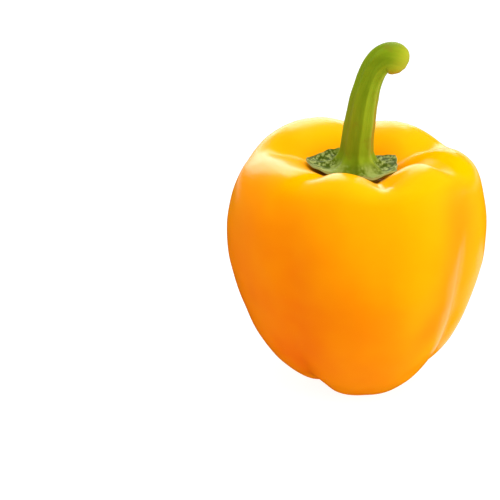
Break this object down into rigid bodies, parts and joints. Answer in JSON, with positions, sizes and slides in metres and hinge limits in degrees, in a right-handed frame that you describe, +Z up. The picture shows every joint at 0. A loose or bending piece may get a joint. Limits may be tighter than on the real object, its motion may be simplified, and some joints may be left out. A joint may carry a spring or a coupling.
{
  "type": "bell pepper",
  "caption": "Whole yellow bell pepper with rounded lobes, a sunken top and a curved green stem that flares into a ragged calyx. It stands on the low points of its lobes.",
  "frame": {"origin": "on the surface that the pepper stands on, under the middle of the fruit", "axes": "+Z up along the fruit towards the stem, -Y the front, +X the right, the way the stem's end bends"},
  "size_m": [0.0864, 0.0848, 0.1191],
  "materials": {
    "fruit_skin": "gloss",
    "green_stem": "satin"
  },
  "bodies": {
    "root": {"fruit": "fruit_skin", "stem_and_calyx": "green_stem"}
  },
  "joints": []
}
